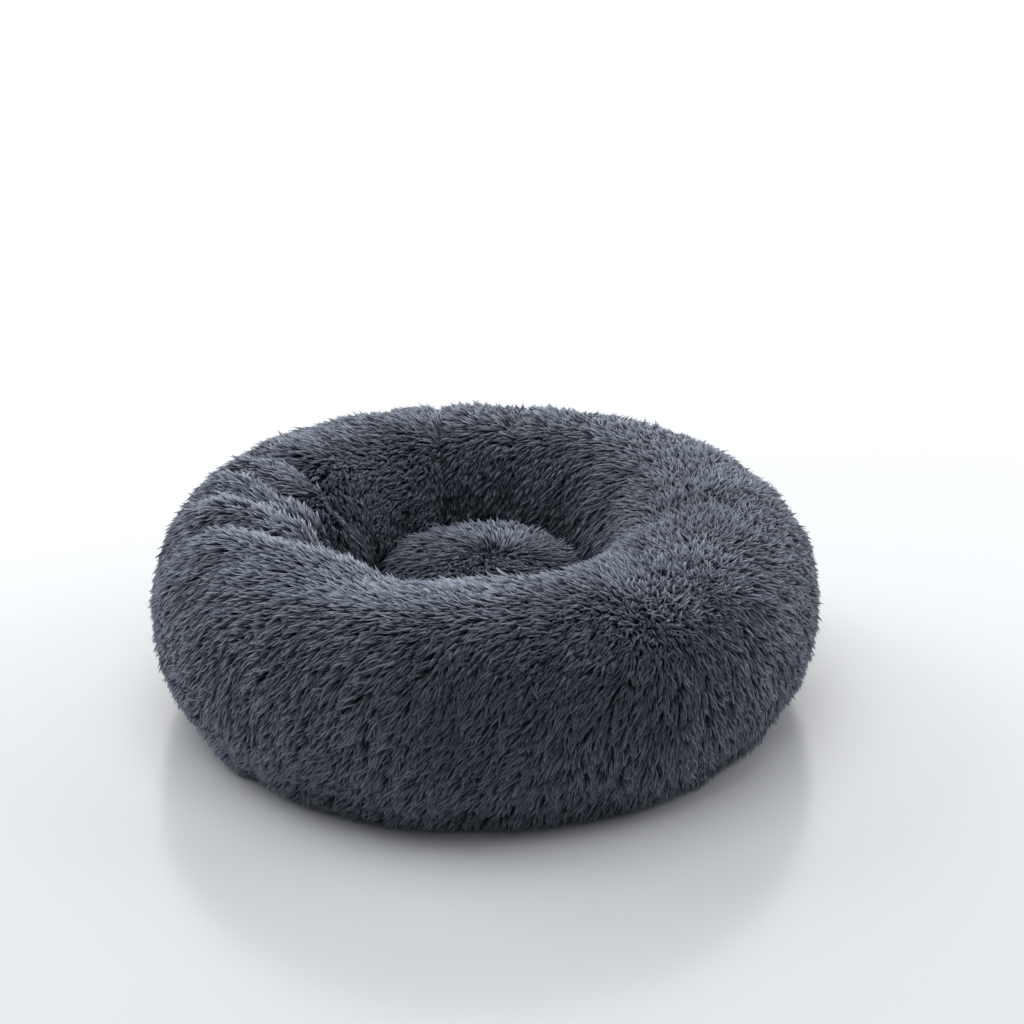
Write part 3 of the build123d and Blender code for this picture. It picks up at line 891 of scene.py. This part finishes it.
def cushion_tufts(rng):
    """Pile that swirls out from the crown of the cushion and hangs over its edge."""
    points, azimuth, angle = cushion_half(CUSHION_PILE)
    along = np.roll(points, -1, 0) - points
    across = np.zeros_like(points)
    across[:, :-1] = points[:, 1:] - points[:, :-1]
    area = np.linalg.norm(np.cross(along, across), axis=-1)
    normals = unit(np.cross(across, along) + np.array([0.0, 0.0, 1e-9]))
    normals[:, -1] = normals[:, -2]
    i, j, fu, fv = scatter(area, CUSHION_DENSITY, rng)
    root = grid_sample(points, i, j, fu, fv)
    normal = unit(grid_sample(normals, i, j, fu, fv))
    normal = unit(normal + np.array([0.0, 0.0, 0.15]))
    a = azimuth[i, 0] + fu * 2 * np.pi / CUSHION_STEPS[0]
    t = angle[0, j]
    away = root - np.array([*CUSHION_WHORL, CUSHION_MID_Z + CUSHION_RISE - CUSHION_PILE])
    far = np.linalg.norm(away, axis=-1)
    lie = unit(tangent(away + np.array([0.0, 0.0, -0.25]) * smooth(far, 0.04, 0.1)[:, None] * 0.2, normal))
    count = len(root)
    turn = 0.35 + 0.25 * wave(a, t, rng) + 0.20 * rng.standard_normal(count)
    comb = lie * np.cos(turn)[:, None] + np.cross(normal, lie) * np.sin(turn)[:, None]
    near = 1 - smooth(far, 0.002, 0.030)
    edge = smooth(np.hypot(root[:, 0], root[:, 1]), 0.070, 0.086)
    return {
        "root": root,
        "normal": normal,
        "comb": comb,
        "lean": (CUSHION_LEAN + 0.12 * rng.standard_normal(count)) * (1 - 0.75 * near) + 0.15 * edge,
        "length": (CUSHION_TUFT_LENGTH + 0.0022 * rng.standard_normal(count))
        * (1 - 0.15 * near - 0.18 * edge),
        "width": CUSHION_TUFT_RADIUS * (1 + 0.22 * rng.standard_normal(count)),
        "tone": 0.47 + 0.19 * rng.standard_normal(count) + 0.12 * near,
        "droop": 0.16 + 0.06 * rng.standard_normal(count) + 0.30 * edge,
        "curl": 0.45 * rng.standard_normal(count),
    }


def build_cushion():
    """The cushion's two covers, its liner and filling, its pile and its piping."""
    rng = np.random.default_rng(23)
    top, _, _ = cushion_half(CUSHION_PILE)
    bottom, _, _ = cushion_half(0.0, True, CUSHION_DROP, CUSHION_BOTTOM_RADIUS)
    skin = mesh_piece("cushion_top_skin", *lathe(top, closed=False), BACKING, "cushion", "slate_plush")
    add_thickness(skin, SKIN_THICKNESS)
    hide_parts("cushion_top_cover")
    tuft_piece("cushion_pile", cushion_tufts(rng), rng, "cushion")
    shell = lathe(bottom, closed=False, inside_out=True)
    under = mesh_piece("cushion_bottom_skin", *shell, BASE_CLOTH, "cushion", "base_cloth")
    add_thickness(under, 0.0008)
    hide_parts("cushion_bottom_cover")
    for name, inset, material, node, slot in (
        ("cushion_liner_bag", LINER_INSET, LINER_CLOTH, "cushion_liner", "white_liner"),
        ("cushion_fibre_core", FILL_INSET, FIBRE, "cushion_fill", "fibre_fill"),
    ):
        upper, _, _ = cushion_half(CUSHION_PILE + inset)
        side = CUSHION_RADIUS - CUSHION_PILE - inset
        lower, _, _ = cushion_half(0.0, True, CUSHION_DROP - 0.002 - inset, side)
        lower = lower[:, ::-1]
        both = np.concatenate([upper, lower[:, 1:]], 1)
        core = mesh_piece(name, *lathe(both), material, "cushion", slot)
        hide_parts(node)
    ribbed_ring("cushion_cord", "cushion_piping", 260, BASE_CLOTH, "cushion", "base_cloth")


def cord_ring(node):
    """The circle's radius, the middle height and the cord's own radius of a node that is a ring of cord."""
    low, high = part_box(node)
    cord = (high[2] - low[2]) / 2
    return high[0] - cord, (high[2] + low[2]) / 2, cord


def ribbed_ring(name, node, ribs, material, body, slot):
    """A rolled edge round the axis in a node's place, gathered a little between its stitches."""
    radius, height, cord = cord_ring(node)
    steps = ribs * 4
    azimuth = np.arange(steps) * 2 * np.pi / steps
    swell = 1 - 0.07 * (0.5 + 0.5 * np.cos(ribs * azimuth))
    profiles = round_profile(cord, 12)[None] * swell[:, None, None]
    frames = round_the_axis(azimuth)[0], np.repeat(UP[None], steps, 0)
    path = round_points(azimuth, radius, height)
    edge = tube_piece(name, path, frames, profiles, material, body, slot)
    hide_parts(node)


build_cushion()


# ---------------------------------------------------------------- base


DISC_SPOKES = 240


def disc_sheet(name, radius, top, thickness, relief, material, slot, rings=64, corner=0.0004):
    """A round sheet of cloth with a rounded edge; relief lifts both faces, by radius and azimuth."""
    r = np.linspace(0.004, radius - corner, rings)
    azimuth = np.arange(DISC_SPOKES) * 2 * np.pi / DISC_SPOKES
    a, rr = np.meshgrid(azimuth, r, indexing="ij")
    lift = relief(rr, a)
    upper = round_points(a, rr, top + lift)
    lower = round_points(a, rr, top + lift - thickness)
    rim = round_points(azimuth, radius, top - thickness / 2 + lift[:, -1])
    both = np.concatenate([upper, rim[:, None], lower[:, ::-1]], 1)
    return mesh_piece(name, *lathe(both), material, "bed", slot)


def build_base():
    """The base cloth, the grip sheet with its dots, and the stitched binding round them."""
    panel_low, panel_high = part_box("base_panel")
    base_radius, base_top = panel_high[0], panel_high[2]
    thickness = base_top - panel_low[2]

    def base_relief(r, a):
        pulled = -0.0002 * smooth(r, base_radius - 0.008, base_radius)
        return pulled + 0.00008 * np.sin(9 * a) * (r / base_radius)

    panel = disc_sheet("base_cloth_panel", base_radius, base_top - 0.0001, thickness - 0.0003, base_relief,
                       BASE_CLOTH, "base_cloth")
    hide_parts("base_panel")

    grip_radius, _, grip_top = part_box("non_slip_sheet")[1]
    sheet = disc_sheet("grip_sheet", grip_radius, grip_top, grip_top - DOT_HEIGHT, lambda r, a: 0 * r,
                       GRIP_CLOTH, "grip_rubber", rings=24)
    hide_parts("non_slip_sheet")
    dots = grip_dots(grip_radius - 0.008)
    path = circle_path(grip_radius - 0.004, DOT_HEIGHT - 0.0001)
    stitch_line("grip_stitches", path, -UP, 0.0032, 0.0016, 0.00028, THREAD, "bed", "binding_tape")

    ribbed_ring("base_binding_tape", "base_binding", 420, BINDING_TAPE, "bed", "binding_tape")
    tape_circle, tape_middle, tape_radius = cord_ring("base_binding")
    lean = math.radians(-20)
    across, down = math.cos(lean), math.sin(lean)
    path = circle_path(tape_circle + tape_radius * across, tape_middle + tape_radius * down)
    out = unit(path * np.array([1.0, 1.0, 0.0])) * across + np.array([0.0, 0.0, down])
    stitch_line("binding_stitches", path, out, 0.0030, 0.0014, 0.00030, THREAD, "bed", "binding_tape")


# The grip sheet's dots: how far apart they are, and the radius and height of each
DOT_PITCH = 0.0095
DOT_RADIUS = 0.0018
DOT_HEIGHT = 0.0006


def dot_places(reach):
    """The middles of the dots, on a triangular grid."""
    places = []
    row_gap = DOT_PITCH * math.sqrt(0.75)
    rows = int(reach / row_gap) + 1
    columns = int(reach / DOT_PITCH) + 1
    for row in range(-rows, rows + 1):
        shift = DOT_PITCH / 2 if row % 2 else 0.0
        for column in range(-columns, columns + 1):
            x, y = column * DOT_PITCH + shift, row * row_gap
            if math.hypot(x, y) < reach:
                places.append((x, y))
    return places


def grip_dots(reach):
    """Raised dots under the grip sheet, each a low round dome."""
    corners = 8
    rings = ((1.0, 0.0), (0.86, 0.55), (0.5, 0.92))
    points, faces = [], []
    for x, y in dot_places(reach):
        first = len(points)
        for share, depth in rings:
            for k in range(corners):
                turn = 2 * math.pi * k / corners
                out = DOT_RADIUS * share
                points.append((x + out * math.cos(turn), y + out * math.sin(turn), DOT_HEIGHT * (1 - depth)))
        points.append((x, y, 0.0))
        for ring in range(len(rings) - 1):
            for k in range(corners):
                n = (k + 1) % corners
                low = first + ring * corners
                faces.append((low + k, low + corners + k, low + corners + n, low + n))
        for k in range(corners):
            low = first + (len(rings) - 1) * corners
            faces.append((low + k, len(points) - 1, low + (k + 1) % corners))
        faces.append(tuple(first + k for k in range(corners)))
    return mesh_piece("grip_dots", points, faces, GRIP_RUBBER, "bed", "grip_rubber")


def build_nest_floor():
    """The quilted cloth disc under the cushion."""
    radius, _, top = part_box("nest_floor_panel")[1]
    rings = (0.035, 0.070)

    def quilting(r, a):
        groove = sum(bump(r, ring, 0.0035) for ring in rings)
        return 0.0004 * np.sin(11 * a + 60 * r) * (r / radius) - 0.0012 * groove - 0.0005

    floor = disc_sheet("nest_floor_cloth", radius, top, 0.0010, quilting, BASE_CLOTH, "base_cloth",
                       corner=0.0002)
    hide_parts("nest_floor_panel")
    for k, ring in enumerate(rings):
        path = circle_path(ring, top - 0.0016)
        name = f"nest_quilting_{k + 1}"
        stitch_line(name, path, UP, 0.0034, 0.0018, 0.00028, THREAD, "bed", "base_cloth")


def build_wadding():
    """The round pad under the nest floor, which fills the ring's hole down to the base."""
    wadding_low, wadding_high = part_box("base_wadding")
    rows, columns = 180, 20
    section = np.linspace(math.radians(202), math.radians(262), columns)
    azimuth = np.arange(rows) * 2 * np.pi / rows
    a, s = np.meshgrid(azimuth, section, indexing="ij")
    rim_r, rim_z = ring_surface(a, s, np.full(a.shape, -0.0016))
    rim_z = np.clip(rim_z, wadding_low[2] + 0.0008, wadding_high[2] - 0.0012)
    lump = 0.0006 * np.sin(7 * a + 90 * rim_z) + 0.0004 * np.sin(19 * a)
    side = round_points(a, rim_r - 0.002 + lump, rim_z)
    inner = [side[:, :1] * np.array([k, k, 1.0]) for k in (0.02, 0.35, 0.7, 0.92)]
    outer = [side[:, -1:] * np.array([k, k, 1.0]) for k in (0.95, 0.7, 0.35, 0.02)]
    both = np.concatenate(inner + [side] + outer, 1)
    faces = grid_faces(*both.shape[:2], np.arange(rows), closed_columns=False)[:, ::-1].tolist()
    count = both.shape[1]
    faces.append([k * count for k in range(rows)])
    faces.append([k * count + count - 1 for k in reversed(range(rows))])
    pad = mesh_piece("nest_wadding", both.reshape(-1, 3), faces, WADDING, "bed", "wadding", mend=True)
    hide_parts("base_wadding")


build_base()
build_nest_floor()
build_wadding()


# ---------------------------------------------------------------- zip and label


def wall_points(azimuth, up_wall, out_wall):
    """Points by azimuth, distance up the wall from the zip's line, and distance out of the wall."""
    place, normal, upward = zip_frame()
    radius = place[0] + up_wall * upward[0] + out_wall * normal[0]
    height = place[1] + up_wall * upward[1] + out_wall * normal[1]
    return round_points(azimuth, radius, height)


# Each tape, by its distance from the zip's line: its start, its bend, its seam and its end,
# and how far its outer edge dips under the pile
TAPE_START = 0.0012
TAPE_BEND = 0.0088
TAPE_SEAM = 0.0076
TAPE_END = 0.0105
TAPE_DIP = 0.0008


def tape_piece(word, side):
    """One woven tape with its row of stitches."""
    steps = 420
    azimuth = np.linspace(*ZIP_AZIMUTHS, steps)
    profile = [
        (TAPE_START, TAPE_FACE),
        (TAPE_START, TAPE_BACK),
        (TAPE_BEND, TAPE_BACK),
        (TAPE_END, TAPE_BACK - TAPE_DIP),
        (TAPE_END, TAPE_FACE - TAPE_DIP),
        (TAPE_BEND, TAPE_FACE),
    ]
    rings = []
    for u, n in profile:
        ripple = 0.00012 * np.sin(azimuth * 300) * (u > 0.005)
        rings.append(wall_points(azimuth, np.full(steps, side * u), n + ripple))
    points = np.stack(rings, 1).reshape(-1, 3)
    faces = grid_faces(steps, len(profile), np.arange(steps - 1)).tolist() + end_caps(steps, len(profile))
    tape = mesh_piece(f"zip_cloth_{word}", points, faces, ZIP_CLOTH, "bed", "zip_cloth", mend=True)
    tape.data.polygons.foreach_set("use_smooth", [False] * len(tape.data.polygons))
    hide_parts(f"zip_tape_{word}")
    seam = np.full(steps, side * TAPE_SEAM)
    path = wall_points(azimuth, seam, np.full(steps, TAPE_FACE))
    normal = wall_points(azimuth, seam, np.full(steps, TAPE_FACE + 1.0)) - path
    name = f"zip_stitches_{word}"
    stitch_line(name, path, normal, 0.0026, 0.0012, 0.00024, THREAD, "bed", "zip_cloth")


def coil_piece(word, side):
    """One row of the coil: a nylon thread wound round its axis."""
    pitch, thread, corners, per_turn = 0.0016, 0.00036, 4, 8
    centre_n = TAPE_FACE + COIL_RADIUS
    place = zip_frame()[0]
    arc = ZIP_AZIMUTHS[1] - ZIP_AZIMUTHS[0]
    turns = int(arc * place[0] / pitch)
    k = np.arange(turns * per_turn + 1)
    azimuth = ZIP_AZIMUTHS[0] + arc * k / len(k)
    turn = 2 * np.pi * k / per_turn
    reach = COIL_RADIUS - thread
    u = side * (COIL_OFFSET + reach * np.cos(turn))
    n = centre_n + reach * np.sin(turn)
    path = wall_points(azimuth, u, n)
    axis = wall_points(azimuth, np.full(len(k), side * COIL_OFFSET), np.full(len(k), centre_n))
    out = unit(path - axis)
    across = unit(np.cross(out, np.gradient(path, axis=0)))
    profile = round_profile(thread, corners)
    coil = tube_piece(f"zip_nylon_{word}", path, (out, across), profile, ZIP_NYLON, "bed", "zip_nylon",
                      closed=False)
    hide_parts(f"zip_coil_{word}")


def bevelled_copy(node, name, material, body, width):
    """A piece with the CAD part's shape and rounded edges."""
    work = bmesh.new()
    work.from_mesh(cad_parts[node].data)
    bmesh.ops.remove_doubles(work, verts=work.verts, dist=1e-6)
    bmesh.ops.dissolve_limit(work, angle_limit=math.radians(4), verts=work.verts, edges=work.edges)
    mesh = bpy.data.meshes.new(name)
    work.to_mesh(mesh)
    work.free()
    mesh.polygons.foreach_set("use_smooth", [False] * len(mesh.polygons))
    piece = place_piece(name, mesh, material, body)
    edges = piece.modifiers.new("edges", "BEVEL")
    edges.width = width
    edges.segments = 2
    edges.limit_method = "ANGLE"
    edges.angle_limit = math.radians(35)
    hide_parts(node)


def build_zip():
    """Two tapes, two coils of nylon, and bevelled metal parts."""
    for side, word in ((1, "upper"), (-1, "lower")):
        tape_piece(word, side)
        coil_piece(word, side)
    bevelled_copy("zip_end_stops", "zip_stop_clips", ZIP_METAL, "bed", 0.00018)
    bevelled_copy("zip_slider", "zip_slider_body", ZIP_METAL, "slider", 0.00016)
    bevelled_copy("zip_pull", "zip_pull_tab", ZIP_METAL, "pull", 0.00022)


# The label's place in the base seam, and its size
LABEL_AZIMUTH = math.radians(96.0)
LABEL_START = 0.2510
LABEL_LENGTH = 0.0315
LABEL_WIDTH = 0.0256
LABEL_THICKNESS = 0.0004
LOWEST_CLOTH = 0.0012


def build_label():
    """The blank satin label: curled, and sewn into the seam."""
    low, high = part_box("care_label")
    outward, sideways = round_the_axis(LABEL_AZIMUTH)
    along, across = 36, 24
    t, w = np.meshgrid(np.linspace(0, 1, along), np.linspace(-0.5, 0.5, across), indexing="ij")
    middle = (low[2] + high[2]) / 2
    curl = 0.0035 * smooth(t, 0.35, 1.0) * (0.6 + 0.8 * w**2) + 0.0004 * np.sin(9 * t + 5 * w)
    height = middle + curl + 0.0001
    points = outward * (LABEL_START + LABEL_LENGTH * t)[..., None] + sideways * (LABEL_WIDTH * w)[..., None]
    points[..., 2] = np.maximum(height, LOWEST_CLOTH)
    faces = grid_faces(along, across, np.arange(along - 1), closed_columns=False)
    label = mesh_piece("blank_label", points.reshape(-1, 3), faces.tolist(), SATIN, "bed", "satin_label")
    add_thickness(label, LABEL_THICKNESS)
    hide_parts("care_label")
    rows = np.linspace(-0.44, 0.44, 30)
    path = outward * (LABEL_START + 0.0022) + sideways * (LABEL_WIDTH * rows)[:, None]
    path[:, 2] = middle + 0.0002
    stitch_line("label_stitches", path, UP, 0.0022, 0.0010, 0.00022, PALE_THREAD, "bed", "satin_label")


build_zip()
build_label()


# ---------------------------------------------------------------- camera, floor and light

# Each lamp: name, place, power, width and height, and the point it faces.
LAMPS = (
    ("curtains", (0.0, 4.6, 2.2), 380.0, (16.0, 4.3), (0.0, 0.0, 2.2)),
    ("ceiling", (-0.3, -0.2, 3.0), 74.0, (2.8, 2.8), (0.0, 0.0, 0.1)),
    ("left_window", (-2.6, 1.2, 1.9), 62.0, (2.0, 2.0), (0.0, 0.0, 0.1)),
    ("right_window", (2.8, 0.6, 1.6), 48.0, (2.0, 2.0), (0.0, 0.0, 0.1)),
)
# The floor doesn't mirror these.
SIDE_WINDOWS = ("left_window", "right_window")
SKY = (0.93, 0.96, 1.0, 1.0)
SKY_STRENGTH = 0.33
FLOOR_COLOUR = (0.50, 0.51, 0.525, 1.0)
FLOOR_REACH = 12.0


def studio():
    """The camera, the pale floor and the soft light from behind."""
    scene = bpy.context.scene
    scene.view_settings.view_transform = "Standard"
    camera = bpy.data.objects.new("camera", bpy.data.cameras.new("camera"))
    scene.collection.objects.link(camera)
    camera.data.lens = VIEW_LENS
    camera.data.sensor_width = 36.0
    camera.data.clip_end = 50.0
    c, s = math.cos(VIEW_ELEVATION), math.sin(VIEW_ELEVATION)
    camera.location = (0.0, -VIEW_DISTANCE * c, RING_CENTRE_HEIGHT + VIEW_DISTANCE * s)
    target = Vector((AIM_RIGHT, AIM_UP * s, RING_CENTRE_HEIGHT + AIM_UP * c))
    camera.rotation_euler = (target - camera.location).to_track_quat("-Z", "Y").to_euler()
    scene.camera = camera

    floor_material, _, shader = new_material("floor", roughness=0.20, specular=0.42)
    shader.inputs["Base Color"].default_value = FLOOR_COLOUR
    mesh = bpy.data.meshes.new("floor")
    corners = [(x * FLOOR_REACH, y * FLOOR_REACH, 0) for x, y in ((-1, -1), (1, -1), (1, 1), (-1, 1))]
    mesh.from_pydata(corners, [], [(0, 1, 2, 3)])
    mesh.materials.append(floor_material)
    floor = bpy.data.objects.new("floor", mesh)
    scene.collection.objects.link(floor)

    world = bpy.data.worlds.new("studio")
    scene.world = world
    world.use_nodes = True
    world.node_tree.nodes["Background"].inputs["Color"].default_value = SKY
    world.node_tree.nodes["Background"].inputs["Strength"].default_value = SKY_STRENGTH
    for name, place, power, (width, height), aim in LAMPS:
        lamp = bpy.data.lights.new(name, "AREA")
        lamp.energy = power
        lamp.shape = "RECTANGLE"
        lamp.size = width
        lamp.size_y = height
        light = bpy.data.objects.new(name, lamp)
        scene.collection.objects.link(light)
        light.location = place
        light.rotation_euler = (Vector(aim) - light.location).to_track_quat("-Z", "Y").to_euler()
        light.visible_glossy = name not in SIDE_WINDOWS


studio()
